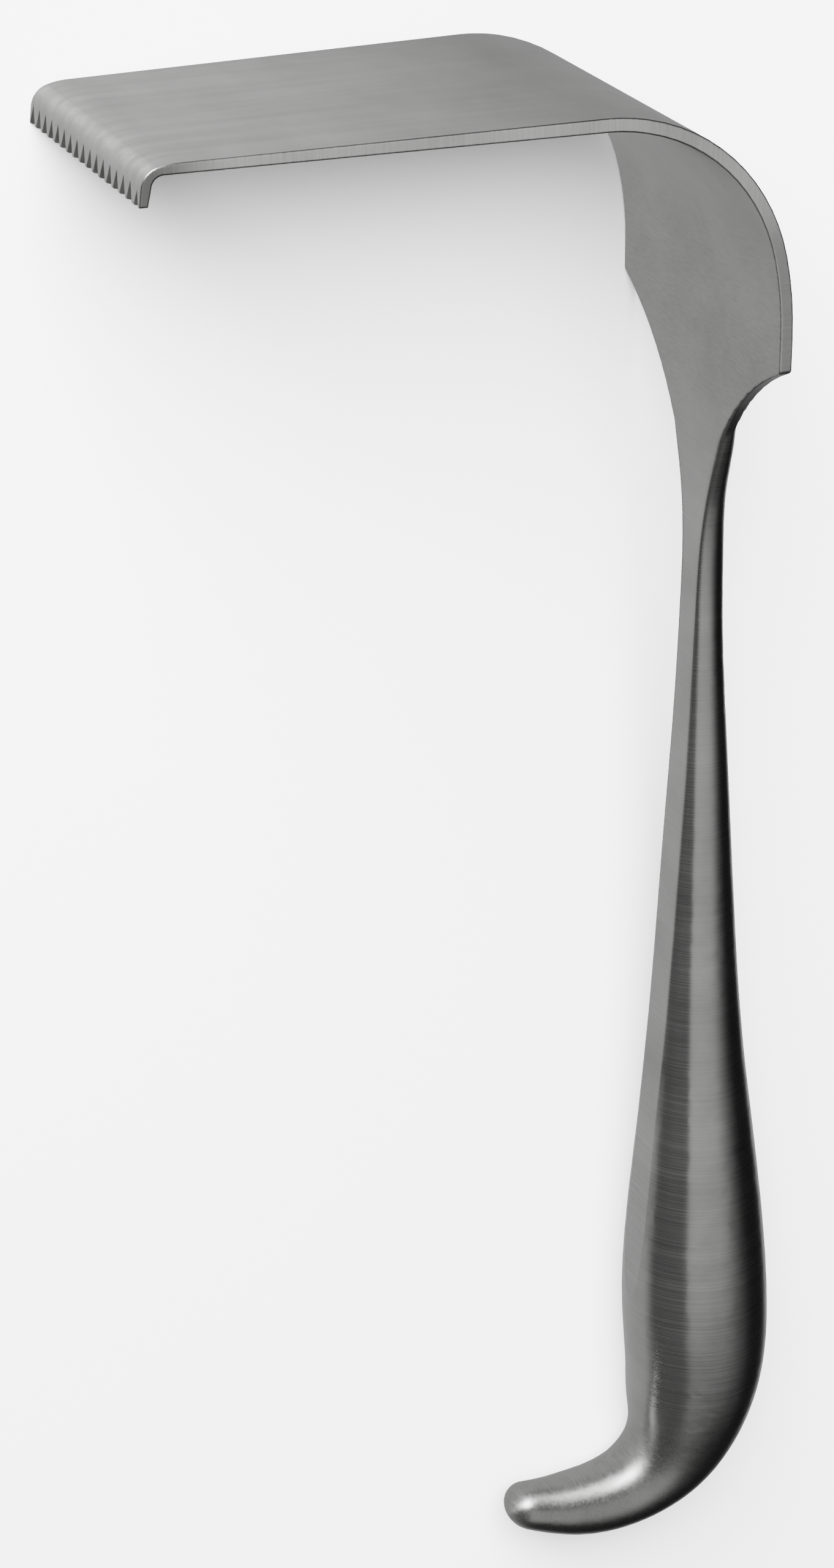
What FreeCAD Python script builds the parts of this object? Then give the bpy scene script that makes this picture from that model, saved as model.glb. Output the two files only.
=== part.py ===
"""Toothed hand retractor, forged and ground from one bar of stainless steel.

The blade is a thin plate with a turned-down lip that is filed into teeth. It
bends through a right angle into a back plate, which narrows through two hollow
shoulders into a round shank. The shank has a flat ground on its inner side,
swells into a grip and ends in a hook that curls towards the blade.

The piece is drawn upright: x runs from the lip (negative) to the back, y from
the near edge to the far edge and z upwards. x = 0 is the inner face of the back
plate, y = 0 the mid-plane and z = 0 the outer face of the blade. It is then
laid on its far side, as it comes to rest, with +Y along the handle.
"""
import FreeCAD, Part
import math
import os

os.makedirs("parts", exist_ok=True)

Vector = FreeCAD.Vector

# Blade and back plate
BLADE_REACH = 92.3          # tooth points to the inner face of the back plate
PLATE_WIDTH = 50.0          # across the bend and the back plate
LIP_WIDTH = 45.0            # across the blade at its lip
TAPER_START = 21.0          # where the blade begins to narrow, ahead of the back plate
PLATE_THICKNESS = 2.0       # at the bend and down the back plate
BLADE_TIP_THICKNESS = 1.55  # where the blade meets the lip
EDGE_ROUND = 0.3            # the edges of the plate are broken by hand

# Right-angle bend, tighter above and easing into the back plate
BEND_RADIUS = 28.7          # outer face, upper arc
BEND_EASE_RADIUS = 52.0     # outer face, lower arc
BEND_EASE_ANGLE = 77.0      # degrees turned by the upper arc

# Turned-down lip
LIP_DROP = 5.6              # outer face of the blade to the tooth points
LIP_RADIUS = 3.2            # outer face
LIP_EASE_RADIUS = 12.0      # outer face, where the blade starts to turn down
LIP_EASE_ANGLE = 15.0       # degrees turned by that wider arc
LIP_INNER_RADIUS = 1.65     # inner face
LIP_TURN = 84.0             # degrees; the lip leans outwards by the rest of 90
LIP_EDGE_THICKNESS = 1.3    # at its lower edge
LIP_OUTER_ROUND = 0.2       # lower edge, outer side

# Teeth: grooves filed into the lip's outer face, deepest at its lower edge
GROOVE_COUNT = 17
GROOVE_TOP = 2.65           # groove apex, below the outer face of the blade
GROOVE_DEPTH = 1.0          # at the lower edge
LAND_WIDTH = 0.35           # left between two grooves at the lower edge
LAST_GROOVE_SHARE = 0.78    # the groove at the near end was filed less deep

# Hollow shoulders, from the corners of the back plate to the shank
SHOULDER_NEAR = 39.2        # corner height below the blade, near side
SHOULDER_FAR = 38.1         # corner height below the blade, far side
SHOULDER_CORNER_ROUND = 0.8
SHOULDER_MID = 45.6         # middle of the hollow, below the blade
SHOULDER_MID_HALF_WIDTH = 15.0
SHOULDER_END = 62.0         # the hollow dies away inside the shank
SHOULDER_END_HALF_WIDTH = 4.6

# Shank, grip and hook, as sections down the handle: the centre x and z, the half
# depth in the mid-plane, the half width across it, and the turn towards the blade
ROOT_SECTIONS = (           # sunk in the back plate, then rising out of it
    (0.9, -43.0, 0.9, 12.0, 0.0),
    (1.1, -50.0, 2.1, 9.7, 0.0),
    (1.3, -57.5, 3.2, 7.1, 0.0),
    (1.25, -65.0, 3.25, 4.6, 0.0),
)
SHANK_SECTIONS = (
    (1.4, -73.0, 3.35, 3.35, 0.0),
    (1.65, -85.5, 3.4, 3.4, 0.0),
    (2.0, -102.0, 4.1, 4.1, 0.0),
    (2.25, -120.0, 5.15, 5.15, 0.0),
    (2.55, -138.0, 6.2, 6.2, 0.0),
    (2.95, -156.5, 7.6, 7.6, 0.0),
)
GRIP_SECTIONS = (
    (3.45, -171.0, 9.1, 9.1, 0.0),
    (3.9, -188.0, 10.85, 10.85, 0.0),
    (4.4, -203.0, 11.6, 11.6, 0.0),
    (4.55, -214.5, 11.05, 11.1, 5.0),
    (3.05, -223.5, 9.65, 9.9, 18.0),
)
HOOK_SECTIONS = (
    (-0.6, -231.2, 7.25, 8.2, 44.0),
    (-7.8, -235.6, 5.7, 6.95, 73.0),
    (-17.0, -236.2, 4.75, 6.1, 95.0),
    (-23.8, -234.9, 3.65, 5.0, 106.0),
)
HOOK_TIP_LENGTH = 4.4       # rounded end beyond the last section
HOOK_TIP_STEPS = (30, 55, 75)   # degrees round the end at which it is drawn

# Flat ground on the inner side of the shank and grip: x at each depth z
FLAT_PROFILE = (
    (0.0, -62.0),
    (-0.12, -70.0),
    (-0.5, -85.0),
    (-1.15, -104.0),
    (-2.0, -120.0),
    (-2.95, -138.0),
    (-4.1, -156.5),
    (-5.35, -173.0),
    (-6.65, -190.0),
    (-8.0, -216.0),
)

SECTION_POINTS = 16         # drawn round each section of the handle
SEAM_HEIGHTS = (-66.0, -110.0, -150.0, -190.0, -212.0)  # these part the handle's long skin

# Fineness of the facets used to find the point on which the handle rests
REST_FACET = 0.02


def polar(centre, radius, degrees):
    """Point in the xz plane at an angle from straight up, turning towards +x."""
    angle = math.radians(degrees)
    return Vector(centre.x + radius * math.sin(angle), 0, centre.z + radius * math.cos(angle))


def arc(centre, radius, start, end):
    """Arc edge in the xz plane between two angles from straight up."""
    points = [polar(centre, radius, angle) for angle in (start, (start + end) / 2, end)]
    return Part.Arc(*points).toShape()


def line(start, end):
    return Part.makeLine(start, end)


def half_width(x):
    """Half the blade's width at x, which narrows evenly towards the lip."""
    narrowing = (PLATE_WIDTH - LIP_WIDTH) / 2 / (BLADE_REACH - TAPER_START)
    return PLATE_WIDTH / 2 - narrowing * max(0.0, -TAPER_START - x)


def bend_centres():
    """Centres of the bend's upper arc and of the easing arc below it."""
    easing = BEND_EASE_RADIUS - BEND_RADIUS
    turned = math.radians(BEND_EASE_ANGLE)
    lower_x = PLATE_THICKNESS - BEND_EASE_RADIUS
    upper = Vector(lower_x + easing * math.sin(turned), 0, -BEND_RADIUS)
    lower = Vector(lower_x, 0, -BEND_RADIUS - easing * math.cos(turned))
    return upper, lower


def lip_centres():
    """Centres of the lip's bend and of the wider arc that leads into it.

    They are set so that the tooth points reach BLADE_REACH.
    """
    turned = math.radians(LIP_TURN)
    eased = math.radians(LIP_EASE_ANGLE)
    easing = LIP_EASE_RADIUS - LIP_RADIUS
    depth = LIP_EASE_RADIUS - easing * math.cos(eased)
    straight_drop = LIP_DROP - depth + LIP_RADIUS * math.cos(turned)
    lean = straight_drop / math.tan(turned)
    lip = Vector(-BLADE_REACH + LIP_RADIUS * math.sin(turned) + lean, 0, -depth)
    return lip, Vector(lip.x + easing * math.sin(eased), 0, -LIP_EASE_RADIUS)


def lip_inner_centre():
    """Centre of the lip's bend on its inner side, set in evenly from the two outer faces."""
    turned = math.radians(LIP_TURN)
    inset = BLADE_TIP_THICKNESS + LIP_INNER_RADIUS
    lean = (LIP_DROP - inset) / math.tan(turned)
    return Vector(-BLADE_REACH + lean + inset / math.sin(turned), 0, -inset)


def tangent_angle(first, first_radius, second, second_radius):
    """Where a line that touches two circles from outside meets them, nearest straight up."""
    offset = first - second
    lean = math.degrees(math.atan2(offset.x, offset.z))
    spread = math.degrees(math.acos((second_radius - first_radius) / offset.Length))
    return min(lean - spread, lean + spread, key=abs)


def side_profile():
    """Face of the plate in the mid-plane, from the lip to the foot of the back plate."""
    lip, lip_ease = lip_centres()
    lip_inner = lip_inner_centre()
    upper, lower = bend_centres()
    inner_upper = BEND_RADIUS - PLATE_THICKNESS
    inner_lower = BEND_EASE_RADIUS - PLATE_THICKNESS
    tooth_point = Vector(-BLADE_REACH, 0, -LIP_DROP)
    inner_edge = Vector(-BLADE_REACH + LIP_EDGE_THICKNESS, 0, -LIP_DROP)
    underside = tangent_angle(lip_inner, LIP_INNER_RADIUS, upper, inner_upper)
    lip_inside = tangent_angle(lip_inner, LIP_INNER_RADIUS, inner_edge, 0)
    outer_foot = Vector(PLATE_THICKNESS, 0, -SHOULDER_END)
    inner_foot = Vector(0, 0, -SHOULDER_END)
    return Part.Face(Part.Wire([
        line(tooth_point, polar(lip, LIP_RADIUS, -LIP_TURN)),
        arc(lip, LIP_RADIUS, -LIP_TURN, -LIP_EASE_ANGLE),
        arc(lip_ease, LIP_EASE_RADIUS, -LIP_EASE_ANGLE, 0),
        line(polar(lip_ease, LIP_EASE_RADIUS, 0), polar(upper, BEND_RADIUS, 0)),
        arc(upper, BEND_RADIUS, 0, BEND_EASE_ANGLE),
        arc(lower, BEND_EASE_RADIUS, BEND_EASE_ANGLE, 90),
        line(polar(lower, BEND_EASE_RADIUS, 90), outer_foot),
        line(outer_foot, inner_foot),
        line(inner_foot, polar(lower, inner_lower, 90)),
        arc(lower, inner_lower, 90, BEND_EASE_ANGLE),
        arc(upper, inner_upper, BEND_EASE_ANGLE, underside),
        line(polar(upper, inner_upper, underside), polar(lip_inner, LIP_INNER_RADIUS, underside)),
        arc(lip_inner, LIP_INNER_RADIUS, underside, lip_inside),
        line(polar(lip_inner, LIP_INNER_RADIUS, lip_inside), inner_edge),
        line(inner_edge, tooth_point),
    ]))


def plan_prism():
    """The blade as seen from above, which narrows from the bend to the lip."""
    margin = PLATE_THICKNESS
    ahead = -BLADE_REACH - margin
    behind = PLATE_THICKNESS + margin
    near_side = [Vector(ahead, -half_width(ahead), 0), Vector(-TAPER_START, -half_width(0), 0),
                 Vector(behind, -half_width(0), 0)]
    far_side = [Vector(point.x, -point.y, 0) for point in reversed(near_side)]
    outline = Part.makePolygon(near_side + far_side + near_side[:1])
    outline.translate(Vector(0, 0, -SHOULDER_END - margin))
    return Part.Face(outline).extrude(Vector(0, 0, SHOULDER_END + 2 * margin))


def shoulder_points(side, corner_drop):
    """Start, middle and end of the hollow on one side."""
    return [
        Vector(0, side * PLATE_WIDTH / 2, -corner_drop),
        Vector(0, side * SHOULDER_MID_HALF_WIDTH, -SHOULDER_MID),
        Vector(0, side * SHOULDER_END_HALF_WIDTH, -SHOULDER_END),
    ]


def front_prism():
    """The back plate as seen from the lip, narrowed by the hollow shoulders."""
    margin = PLATE_THICKNESS
    near = shoulder_points(-1, SHOULDER_NEAR)
    far = shoulder_points(1, SHOULDER_FAR)
    near_top = Vector(0, -PLATE_WIDTH / 2, margin)
    far_top = Vector(0, PLATE_WIDTH / 2, margin)
    face = Part.Face(Part.Wire([
        line(near_top, far_top),
        line(far_top, far[0]),
        Part.Arc(*far).toShape(),
        line(far[2], near[2]),
        Part.Arc(*reversed(near)).toShape(),
        line(near[0], near_top),
    ]))
    face.translate(Vector(-BLADE_REACH - margin, 0, 0))
    return face.extrude(Vector(BLADE_REACH + PLATE_THICKNESS + 2 * margin, 0, 0))


def middle(edge):
    return edge.valueAt((edge.FirstParameter + edge.LastParameter) / 2)


def is_through_plate(edge):
    """An edge that runs through the thickness of the back plate."""
    ends = [edge.valueAt(edge.FirstParameter), edge.valueAt(edge.LastParameter)]
    return abs(ends[0].x - ends[1].x) > PLATE_THICKNESS / 2


def is_shoulder_corner(edge):
    """An edge through the plate at a corner of the back plate, where a hollow starts."""
    point = middle(edge)
    below = point.z < -min(SHOULDER_NEAR, SHOULDER_FAR) + EDGE_ROUND
    return below and abs(point.y) > PLATE_WIDTH / 2 - EDGE_ROUND and is_through_plate(edge)


def is_tooth_edge(edge):
    """The lip's lower edge on its outer side."""
    point = middle(edge)
    return edge.Length > LIP_WIDTH / 2 and abs(point.z + LIP_DROP) < EDGE_ROUND \
        and point.x < -BLADE_REACH + LIP_EDGE_THICKNESS / 2


def is_outline_edge(edge):
    """An edge of one of the two broad faces, round the outline of the plate."""
    point = middle(edge)
    ends = [edge.valueAt(edge.FirstParameter), edge.valueAt(edge.LastParameter)]
    on_side = abs(point.y) > half_width(point.x) - EDGE_ROUND / 2
    through_bend = abs(point.x + TAPER_START) < EDGE_ROUND and edge.Length < 2 * PLATE_THICKNESS
    in_hollow = point.z < -SHOULDER_FAR and max(end.z for end in ends) > -SHOULDER_END + EDGE_ROUND
    through_hollow = in_hollow and is_through_plate(edge)
    return (on_side or in_hollow) and not through_bend and not through_hollow


def plate():
    """Blade, lip, bend and back plate, with the hollow shoulders and rounded edges."""
    profile = side_profile()
    profile.translate(Vector(0, -PLATE_WIDTH / 2, 0))
    solid = profile.extrude(Vector(0, PLATE_WIDTH, 0))
    solid = solid.common(plan_prism()).common(front_prism())
    for radius, wanted in ((SHOULDER_CORNER_ROUND, is_shoulder_corner),
                           (LIP_OUTER_ROUND, is_tooth_edge),
                           (EDGE_ROUND, is_outline_edge)):
        solid = solid.makeFillet(radius, [edge for edge in solid.Edges if wanted(edge)])
    return solid


def groove(y, width, depth, top):
    """One filed groove: a V that runs out to a point up the lip's outer face."""
    lean = 1 / math.tan(math.radians(LIP_TURN))
    bottom = LIP_DROP + EDGE_ROUND
    deepening = (bottom - top) / (LIP_DROP - top)

    def on_face(drop):
        return -BLADE_REACH + (LIP_DROP - drop) * lean

    outside = 1 + EDGE_ROUND / depth
    inner = Vector(on_face(bottom) + depth * deepening, y, -bottom)
    mouth = [Vector(on_face(bottom) - depth * deepening * (outside - 1),
                    y + side * width / 2 * deepening * outside, -bottom) for side in (-1, 1)]
    apex = Vector(on_face(top), y, -top)
    base = Part.makePolygon([inner, mouth[0], mouth[1], inner])
    return Part.makeLoft([base, Part.Vertex(apex)], True, True)


def grooves():
    """The row of grooves between the teeth, from the near end to the far end."""
    pitch = LIP_WIDTH / GROOVE_COUNT
    width = pitch - LAND_WIDTH
    cutters = []
    for index in range(GROOVE_COUNT):
        share = LAST_GROOVE_SHARE if index == 0 else 1.0
        top = LIP_DROP - (LIP_DROP - GROOVE_TOP) * share
        y = -LIP_WIDTH / 2 + (index + 0.5) * pitch
        cutters.append(groove(y, width * share, GROOVE_DEPTH * share, top))
    return cutters


def section(x, z, half_depth, half_width_across, turn):
    """Oval section of the handle, square to the handle's line."""
    angle = math.radians(turn)
    outward = Vector(math.cos(angle), 0, -math.sin(angle))
    across = Vector(0, 1, 0)
    points = []
    for step in range(SECTION_POINTS):
        around = 2 * math.pi * step / SECTION_POINTS
        points.append(Vector(x, 0, z) + outward * (half_depth * math.cos(around))
                      + across * (half_width_across * math.sin(around)))
    shares = [step / SECTION_POINTS for step in range(SECTION_POINTS + 1)]
    curve = Part.BSplineCurve()
    curve.interpolate(Points=points, PeriodicFlag=True, Parameters=shares)
    return Part.Wire(curve.toShape())


def hook_tip():
    """Sections that round off the end of the hook, and its last point."""
    x, z, half_depth, half_width_across, turn = HOOK_SECTIONS[-1]
    angle = math.radians(turn)
    ahead = Vector(-math.sin(angle), 0, -math.cos(angle)) * HOOK_TIP_LENGTH
    wires = []
    for degrees in HOOK_TIP_STEPS:
        forward = ahead * math.sin(math.radians(degrees))
        share = math.cos(math.radians(degrees))
        wires.append(section(x + forward.x, z + forward.z, half_depth * share,
                             half_width_across * share, turn))
    return wires + [Part.Vertex(Vector(x, 0, z) + ahead)]


def flat_cutter():
    """What the flat on the inner side takes off the round handle."""
    points = [Vector(x, 0, z) for x, z in FLAT_PROFILE]
    curve = Part.BSplineCurve()
    curve.interpolate(points)
    top = Vector(points[0].x, 0, -SHOULDER_FAR)
    clear = min(x for x, *_ in HOOK_SECTIONS)
    face = Part.Face(Part.Wire([
        line(top, points[0]),
        curve.toShape(),
        line(points[-1], Vector(clear, 0, points[-1].z)),
        line(Vector(clear, 0, points[-1].z), Vector(clear, 0, top.z)),
        line(Vector(clear, 0, top.z), top),
    ]))
    face.translate(Vector(0, -PLATE_WIDTH / 2, 0))
    return face.extrude(Vector(0, PLATE_WIDTH, 0))


def handle():
    """Shank, grip and hook in one smooth run, with the flat on the inner side."""
    rows = ROOT_SECTIONS + SHANK_SECTIONS + GRIP_SECTIONS + HOOK_SECTIONS
    wires = [section(*row) for row in rows] + hook_tip()
    return Part.makeLoft(wires, True, False, False).cut(flat_cutter())


def lengths(bar):
    """The bar in lengths that meet at SEAM_HEIGHTS, so that no one face is too long."""
    box = bar.BoundBox
    heights = [box.ZMax + REST_FACET, *SEAM_HEIGHTS, box.ZMin - REST_FACET]
    margin = Vector(PLATE_THICKNESS, PLATE_THICKNESS, 0)
    pieces = []
    for top, bottom in zip(heights, heights[1:]):
        corner = Vector(box.XMin, box.YMin, bottom) - margin
        size = Vector(box.XLength, box.YLength, top - bottom) + margin * 2
        pieces.append(bar.common(Part.makeBox(*size, corner)))
    return pieces


def upright():
    """The whole retractor in the frame in which it is drawn."""
    return plate().cut(grooves()).removeSplitter().multiFuse(lengths(handle())).Solids[0]


def laid_down(solid):
    """Turn the piece onto its far side, where it rests on three points.

    Two are the far corners of the shoulder and of the lip. The floor's plane is
    swung about the line through them until it meets the swell of the handle.
    """
    shoulder = Vector(0, PLATE_WIDTH / 2, -SHOULDER_FAR)
    lip_corner = Vector(-BLADE_REACH, LIP_WIDTH / 2, -LIP_DROP)
    hinge = (lip_corner - shoulder).normalize()
    down_handle = Vector(0, -1, 0).cross(hinge).normalize()
    floorward = hinge.cross(down_handle).normalize()
    if down_handle.z > 0:
        down_handle = down_handle * -1
    if floorward.y < 0:
        floorward = floorward * -1
    facets, _ = solid.tessellate(REST_FACET)
    swing = math.pi
    for point in facets:
        offset = point - shoulder
        along = offset.dot(down_handle)
        if along > SHOULDER_END:
            swing = min(swing, math.atan2(-offset.dot(floorward), along))
    up = (down_handle * -math.sin(swing) + floorward * -math.cos(swing)).normalize()
    along_handle = (Vector(0, 0, 1) - up * up.z).normalize()
    sideways = along_handle.cross(up)
    turned = FreeCAD.Rotation(sideways, along_handle, up, "ZYX").inverted()
    laid = solid.transformed(FreeCAD.Placement(Vector(), turned).toMatrix(), True)
    box = laid.optimalBoundingBox(False, False)
    laid.translate(Vector(-box.Center.x, -box.Center.y, -box.ZMin))
    return laid


if __name__ == "__main__":
    retractor = laid_down(upright())
    retractor.exportStep("parts/retractor.step")
    bounds = retractor.optimalBoundingBox(False, False)
    print("retractor valid:", retractor.isValid(), "volume mm3: %.0f" % retractor.Volume)
    print("box mm: %.1f x %.1f x %.1f" % (bounds.XLength, bounds.YLength, bounds.ZLength))
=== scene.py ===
"""Studio scene of a toothed hand retractor in brushed stainless steel.

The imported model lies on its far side, as it comes to rest. Its places are in metres
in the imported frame. The steel's finish is laid out in the upright frame, in
millimetres: x from the lip to the back, y across, z up, with the handle down.
"""
import bpy
import math
from mathutils import Matrix, Vector

# How the upright piece is laid down: the handle's rise, the piece's roll about it and
# the place of the upright frame's origin
HANDLE_RISE = math.radians(4.575)
PIECE_ROLL = math.radians(3.166)
UPRIGHT_ORIGIN = Vector((0.038624, 0.119310, 0.027922))
MM_PER_METRE = 1000.0

# Camera: where it stands, in metres, and how it is turned
CAMERA_PLACE = Vector((-0.25347, 0.22776, 0.54094))
CAMERA_AZIMUTH = math.radians(229.49)
CAMERA_ELEVATION = math.radians(58.06)
CAMERA_ROLL = math.radians(123.87)
LENS_MM = 96.77
SENSOR_HEIGHT_MM = 36.0
CLIP_START = 0.01

# Where the finish changes, in millimetres of the upright frame
HANDLE_STARTS = -52.0       # depth at which the rings of the handle's brushing begin
HOOK_STARTS = -222.0        # depth at which the hook's softer satin begins
ZONE_BLEND = 8.0            # to either side of those depths
BEND_SPAN = (-12.0, -30.0)  # depth over which the strokes on the edge turn with the bend
LIP_SPAN = (-80.0, -70.0)   # reach over which the inner side's satin begins, past the lip

# How far a face has to point inwards or sideways to belong to the inner side or an edge
FACES_INWARDS = (-0.35, -0.75)
FACES_SIDEWAYS = (0.6, 0.9)

# Finish of each zone: how finely the brushing varies along x, y and z, per millimetre,
# its detail, the direction across its strokes and its range of roughness
FINISHES = {
    "blade": {"grain": (0.02, 0.5, 0.5), "detail": 6.0, "across": (0, 1, 0), "roughness": (0.3, 0.36)},
    "inside": {"grain": (1.2, 0.5, 2.6), "detail": 4.0, "across": (0, 0, 1), "roughness": (0.27, 0.38)},
    "edge": {"grain": (2.6, 0.4, 0.15), "detail": 3.0, "across": (1, 0, 0), "roughness": (0.27, 0.38)},
    "back_edge": {"grain": (0.15, 0.4, 2.6), "detail": 3.0, "across": (0, 0, 1), "roughness": (0.27, 0.38)},
    "handle": {"grain": (0.03, 0.03, 5.0), "detail": 3.0, "across": (0, 0, 1), "roughness": (0.23, 0.31)},
    "hook": {"grain": (3.0, 0.25, 3.0), "detail": 2.0, "across": (1, 0, 0.3), "roughness": (0.36, 0.44)},
}
GRAIN_RANGE = (0.25, 0.75)  # the values of the brushing noise that span a zone's roughness

# Painted light and shade of each zone, as lighter and darker copies of the one steel. On the
# blade and on its edges it changes along the reach, from the first value to the second between
# two places in millimetres
ZONE_PAINTED_LIGHT_AND_SHADE = {"inside": 0.79, "back_edge": 1.15, "handle": 1.0, "hook": 0.78}
PAINTED_LIGHT_AND_SHADE_ALONG_REACH = {
    "blade": {"between": (-80.0, -10.0), "values": (1.27, 0.47)},   # painted light near the lip, painted shade towards the bend
    "edge": {"between": (-91.0, -80.0), "values": (0.66, 1.75)},    # painted shade beside the teeth, painted light along the rest of the edge
}

# The steel's colour, and how far brushing and soft clouds lighten and darken it
STEEL_COLOUR = (0.36, 0.36, 0.355)
ANISOTROPY = 0.6
CLOUD_GRAIN = (0.08, 0.05, 0.08)    # per millimetre
CLOUD_DETAIL = 3.0
CLOUD_SHARE = 0.5
TONE_SPAN = (0.3, 0.7)
TONE_RANGE = (0.8, 1.16)
NOISE_ROUGHNESS = 0.6
BUMP_STRENGTH = 0.03
BUMP_DISTANCE = 0.00008             # in metres

# Radius to which edges are worn, in metres
PLATE_WEAR = 0.00015
FLAT_WEAR = 0.0018                  # the flat's edges, at the top of the shank
FLAT_WEAR_SPAN = (-195.0, -90.0)    # depth over which it grows from nothing, going up
WEAR_SAMPLES = 16

# Lights: direction from the piece, distance in metres, size in metres and radiance
KEY = {"toward": (-0.45, 0.86, 0.26), "distance": 1.3, "size": (0.8, 0.4), "radiance": 64.0}
FILL = {"toward": (-0.3, 0.6, 0.74), "distance": 1.5, "size": (1.2, 1.2), "radiance": 50.0}

# The soft box overhead, as the steel mirrors it: its left edge and, along an axis of the
# direction, where it is dark and where it is full
OVERHEAD_RADIANCE = 0.9
OVERHEAD_LEFT_EDGE = math.radians(-43)
OVERHEAD_LEFT_FADE = (-0.02, 0.1)
OVERHEAD_FADES = (("X", 0.9, 0.15), ("Y", -0.85, -0.3), ("Y", 0.8, 0.3), ("Z", 0.1, 0.4))

# The lit paper below, brighter towards the blade's end of the piece
PAPER_RADIANCE = 0.76
PAPER_MIDDLE = Vector((-0.1, 0.02, -0.99)).normalized()
PAPER_FADE = (0.22, 0.5)
PAPER_SLOPE_SPAN = (-0.6, 0.6)
PAPER_SLOPE = (0.8, 1.2)

# The dim room, from its left side to its right
ROOM_SPAN = (-0.3, 0.3)
ROOM_RADIANCE = (0.125, 0.025)

# The sheet of paper on which the piece lies
FLOOR_HALF = 3.0
FLOOR_GREY = 0.9
FLOOR_ROUGHNESS = 0.9


def lay_down():
    """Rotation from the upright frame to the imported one."""
    rise, roll = HANDLE_RISE, PIECE_ROLL
    up_handle = Vector((0, math.cos(rise), math.sin(rise)))
    backwards = Vector((math.cos(roll), -math.sin(roll) * math.sin(rise), math.sin(roll) * math.cos(rise)))
    across = up_handle.cross(backwards)
    return Matrix((backwards, across, up_handle)).transposed()


class Nodes:
    """Short names for building the nodes of one material or world."""

    def __init__(self, owner):
        self.tree = owner.node_tree

    def link(self, source, socket):
        self.tree.links.new(source, socket)

    def add(self, kind, inputs=None, **settings):
        node = self.tree.nodes.new(kind)
        for name, value in settings.items():
            setattr(node, name, value)
        for name, value in (inputs or {}).items():
            if isinstance(value, bpy.types.NodeSocket):
                self.link(value, node.inputs[name])
            else:
                node.inputs[name].default_value = value
        return node

    def math(self, operation, first, second=0.0):
        node = self.add("ShaderNodeMath", {0: first, 1: second}, operation=operation)
        return node.outputs[0]

    def ramp(self, value, low, high, from_value=0.0, to_value=1.0):
        """Smooth change from one value to another while the input goes from low to high."""
        node = self.add("ShaderNodeMapRange", {"Value": value, "From Min": low, "From Max": high,
                                               "To Min": from_value, "To Max": to_value},
                        interpolation_type="SMOOTHSTEP")
        return node.outputs["Result"]

    def blend(self, share, first, second, kind="FLOAT"):
        """Mix of two values. The node has its own sockets for each kind of value."""
        first_input, second_input, output = {"FLOAT": (2, 3, 0), "VECTOR": (4, 5, 1)}[kind]
        node = self.add("ShaderNodeMix", {0: share, first_input: first, second_input: second}, data_type=kind)
        return node.outputs[output]

    def streaks(self, place, stretch, detail, seed):
        """Noise drawn out along the directions in which stretch is small, per millimetre."""
        scaled = self.add("ShaderNodeVectorMath", {0: place, 1: stretch}, operation="MULTIPLY")
        noise = self.add("ShaderNodeTexNoise", {"Vector": scaled.outputs[0], "W": seed, "Scale": 1.0,
                                                "Detail": detail, "Roughness": NOISE_ROUGHNESS},
                         noise_dimensions="4D")
        return noise.outputs["Fac"]


def upright_frame(n):
    """Each point's place, in millimetres, and its facing, both in the upright frame."""
    stand_up = lay_down().transposed()
    turn = stand_up.to_euler("XYZ")
    coordinates = n.add("ShaderNodeTexCoord").outputs
    place = n.add("ShaderNodeMapping", {
        "Vector": coordinates["Object"],
        "Location": stand_up @ UPRIGHT_ORIGIN * -MM_PER_METRE,
        "Rotation": turn,
        "Scale": (MM_PER_METRE,) * 3,
    }, vector_type="POINT")
    facing = n.add("ShaderNodeMapping", {"Vector": coordinates["Normal"], "Rotation": turn},
                   vector_type="POINT")
    return place.outputs[0], facing.outputs[0]


def zone_shares(n, reach, depth, facing):
    """Where each zone lies over the ones before it, from 0 to 1."""
    x, y, _ = n.add("ShaderNodeSeparateXYZ", {0: facing}).outputs
    edge = n.ramp(n.math("ABSOLUTE", y), *FACES_SIDEWAYS)
    return {
        "inside": n.math("MULTIPLY", n.ramp(x, *FACES_INWARDS), n.ramp(reach, *LIP_SPAN)),
        "edge": edge,
        "back_edge": n.math("MULTIPLY", edge, n.ramp(depth, *BEND_SPAN)),
        "handle": n.ramp(depth, HANDLE_STARTS + ZONE_BLEND, HANDLE_STARTS - ZONE_BLEND),
        "hook": n.ramp(depth, HOOK_STARTS + ZONE_BLEND, HOOK_STARTS - ZONE_BLEND),
    }


def by_zone(n, shares, values, kind="FLOAT"):
    """Each zone's own value, starting with the blade's."""
    result = values["blade"]
    for zone, share in shares.items():
        result = n.blend(share, result, values[zone], kind)
    return result


def tone_and_painted_light(n, place, reach, shares, grain):
    """How light the steel is: each zone's painted light and shade, varied by its brushing and by clouds."""
    painted_light_and_shade = dict(ZONE_PAINTED_LIGHT_AND_SHADE)
    for zone, change in PAINTED_LIGHT_AND_SHADE_ALONG_REACH.items():
        painted_light_and_shade[zone] = n.ramp(reach, *change["between"], *change["values"])
    clouds = n.streaks(place, CLOUD_GRAIN, CLOUD_DETAIL, seed=0.0)
    tone = n.ramp(n.blend(CLOUD_SHARE, grain, clouds), *TONE_SPAN, *TONE_RANGE)
    return n.math("MULTIPLY", tone, by_zone(n, shares, painted_light_and_shade))


def steel_normal(n, depth, shares, grain):
    """The surface's normal, with its edges worn and its brushing slightly raised."""
    flat_wear = n.ramp(depth, *FLAT_WEAR_SPAN, 0, FLAT_WEAR)
    wear = n.blend(shares["handle"], PLATE_WEAR, flat_wear)
    worn = n.add("ShaderNodeBevel", {"Radius": wear}, samples=WEAR_SAMPLES)
    bump = n.add("ShaderNodeBump", {"Height": grain, "Strength": BUMP_STRENGTH,
                                    "Distance": BUMP_DISTANCE, "Normal": worn.outputs[0]})
    return bump.outputs[0]


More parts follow.
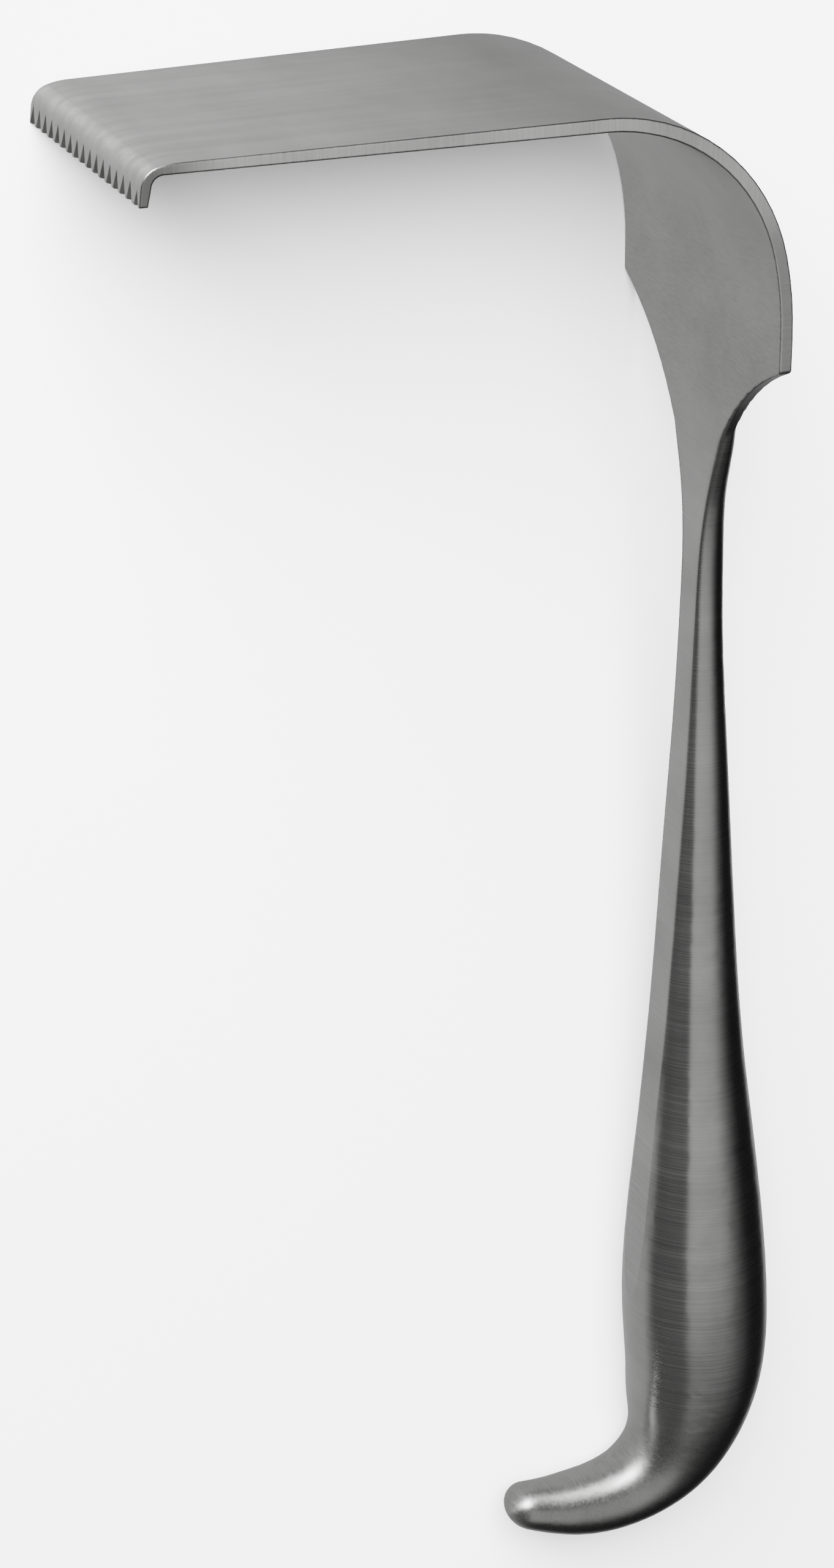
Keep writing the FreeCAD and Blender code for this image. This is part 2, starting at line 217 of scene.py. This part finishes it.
def steel():
    """Brushed stainless steel, with the brushing laid as it is on each part of the piece."""
    material = bpy.data.materials.new("brushed_stainless_steel")
    material.use_nodes = True
    n = Nodes(material)
    shader = material.node_tree.nodes["Principled BSDF"].inputs
    place, facing = upright_frame(n)
    reach, _, depth = n.add("ShaderNodeSeparateXYZ", {0: place}).outputs
    shares = zone_shares(n, reach, depth, facing)

    grains = {zone: n.streaks(place, finish["grain"], finish["detail"], seed)
              for seed, (zone, finish) in enumerate(FINISHES.items(), 1)}
    grain = by_zone(n, shares, grains)
    roughness = {zone: n.ramp(grains[zone], *GRAIN_RANGE, *finish["roughness"])
                 for zone, finish in FINISHES.items()}
    n.link(by_zone(n, shares, roughness), shader["Roughness"])

    # the tone of the brushing and clouds, times each zone's painted light and shade
    tone = tone_and_painted_light(n, place, reach, shares, grain)
    colour = n.add("ShaderNodeVectorMath", {0: STEEL_COLOUR, "Scale": tone}, operation="SCALE")
    n.link(colour.outputs[0], shader["Base Color"])

    across = by_zone(n, shares, {zone: finish["across"] for zone, finish in FINISHES.items()}, "VECTOR")
    laid = n.add("ShaderNodeMapping", {"Vector": across, "Rotation": lay_down().to_euler("XYZ")},
                 vector_type="POINT")
    n.link(laid.outputs[0], shader["Tangent"])
    n.link(steel_normal(n, depth, shares, grain), shader["Normal"])
    shader["Metallic"].default_value = 1.0
    shader["Anisotropic"].default_value = ANISOTROPY
    return material


def camera():
    """The camera at the photograph's viewing angle."""
    back = Vector((math.sin(CAMERA_AZIMUTH) * math.cos(CAMERA_ELEVATION),
                   -math.cos(CAMERA_AZIMUTH) * math.cos(CAMERA_ELEVATION),
                   math.sin(CAMERA_ELEVATION)))
    right = Vector((math.cos(CAMERA_AZIMUTH), math.sin(CAMERA_AZIMUTH), 0))
    level = Matrix((right, back.cross(right), back)).transposed()
    turned = level @ Matrix.Rotation(CAMERA_ROLL, 3, "Z")
    data = bpy.data.cameras.new("camera")
    data.sensor_fit = "VERTICAL"
    data.sensor_height = SENSOR_HEIGHT_MM
    data.lens = LENS_MM
    data.clip_start = CLIP_START
    holder = bpy.data.objects.new("camera", data)
    holder.matrix_world = Matrix.Translation(CAMERA_PLACE) @ turned.to_4x4()
    bpy.context.scene.collection.objects.link(holder)
    bpy.context.scene.camera = holder


def floor():
    """A plain sheet of pale paper. The steel mirrors its even glow from the surroundings,
    which the sheet neither hides nor shades."""
    half = FLOOR_HALF
    mesh = bpy.data.meshes.new("floor")
    mesh.from_pydata([(-half, -half, 0), (half, -half, 0), (half, half, 0), (-half, half, 0)],
                     [], [(0, 1, 2, 3)])
    sheet = bpy.data.objects.new("floor", mesh)
    bpy.context.scene.collection.objects.link(sheet)
    material = bpy.data.materials.new("pale_paper")
    material.use_nodes = True
    shader = material.node_tree.nodes["Principled BSDF"]
    shader.inputs["Base Color"].default_value = (FLOOR_GREY, FLOOR_GREY, FLOOR_GREY, 1)
    shader.inputs["Roughness"].default_value = FLOOR_ROUGHNESS
    mesh.materials.append(material)
    sheet.visible_glossy = False
    sheet.visible_shadow = False


def soft_light(name, toward, distance, size, radiance, seen_in_steel=True):
    """A rectangular soft box that faces the piece."""
    direction = Vector(toward).normalized()
    data = bpy.data.lights.new(name, "AREA")
    data.shape = "RECTANGLE"
    data.size, data.size_y = size
    data.energy = radiance * math.pi * size[0] * size[1]
    holder = bpy.data.objects.new(name, data)
    holder.rotation_euler = direction.to_track_quat("Z", "Y").to_euler()
    holder.location = direction * distance
    holder.visible_glossy = seen_in_steel
    bpy.context.scene.collection.objects.link(holder)


def lit_paper(n, toward, parts):
    """The glow of the lit paper below, by direction."""
    middle = n.add("ShaderNodeVectorMath", {0: toward, 1: PAPER_MIDDLE}, operation="DOT_PRODUCT")
    glow = n.ramp(middle.outputs["Value"], *PAPER_FADE, 0, PAPER_RADIANCE)
    return n.math("MULTIPLY", glow, n.ramp(parts["Y"], *PAPER_SLOPE_SPAN, *PAPER_SLOPE))


def overhead_box(n, toward, parts):
    """The glow of the soft box overhead, by direction."""
    edge = (math.cos(OVERHEAD_LEFT_EDGE), 0, -math.sin(OVERHEAD_LEFT_EDGE))
    inward = n.add("ShaderNodeVectorMath", {0: toward, 1: edge}, operation="DOT_PRODUCT")
    glow = n.ramp(inward.outputs["Value"], *OVERHEAD_LEFT_FADE, 0, OVERHEAD_RADIANCE)
    for axis, outside, inside in OVERHEAD_FADES:
        glow = n.math("MULTIPLY", glow, n.ramp(parts[axis], outside, inside))
    return glow


def surroundings():
    """A dim room with a soft box overhead and lit paper below, as mirrored by the steel."""
    world = bpy.data.worlds.new("studio")
    bpy.context.scene.world = world
    world.use_nodes = True
    n = Nodes(world)
    toward = n.add("ShaderNodeTexCoord").outputs["Generated"]
    parts = n.add("ShaderNodeSeparateXYZ", {0: toward}).outputs
    light = n.math("ADD", lit_paper(n, toward, parts), overhead_box(n, toward, parts))
    light = n.math("ADD", light, n.ramp(parts["X"], *ROOM_SPAN, *ROOM_RADIANCE))
    background = world.node_tree.nodes["Background"].inputs
    n.link(light, background["Strength"])
    background["Color"].default_value = (1, 1, 1, 1)


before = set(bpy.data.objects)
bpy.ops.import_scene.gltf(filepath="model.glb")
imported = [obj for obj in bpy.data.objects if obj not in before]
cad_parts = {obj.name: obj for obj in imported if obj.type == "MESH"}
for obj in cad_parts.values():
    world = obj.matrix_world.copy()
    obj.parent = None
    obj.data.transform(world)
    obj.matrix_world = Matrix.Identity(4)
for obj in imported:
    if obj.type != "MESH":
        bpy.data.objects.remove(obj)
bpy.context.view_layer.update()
bpy.data.objects["retractor"].material_slots[0].material = steel()
camera()
floor()
surroundings()
soft_light("key", **KEY)
soft_light("fill", seen_in_steel=False, **FILL)
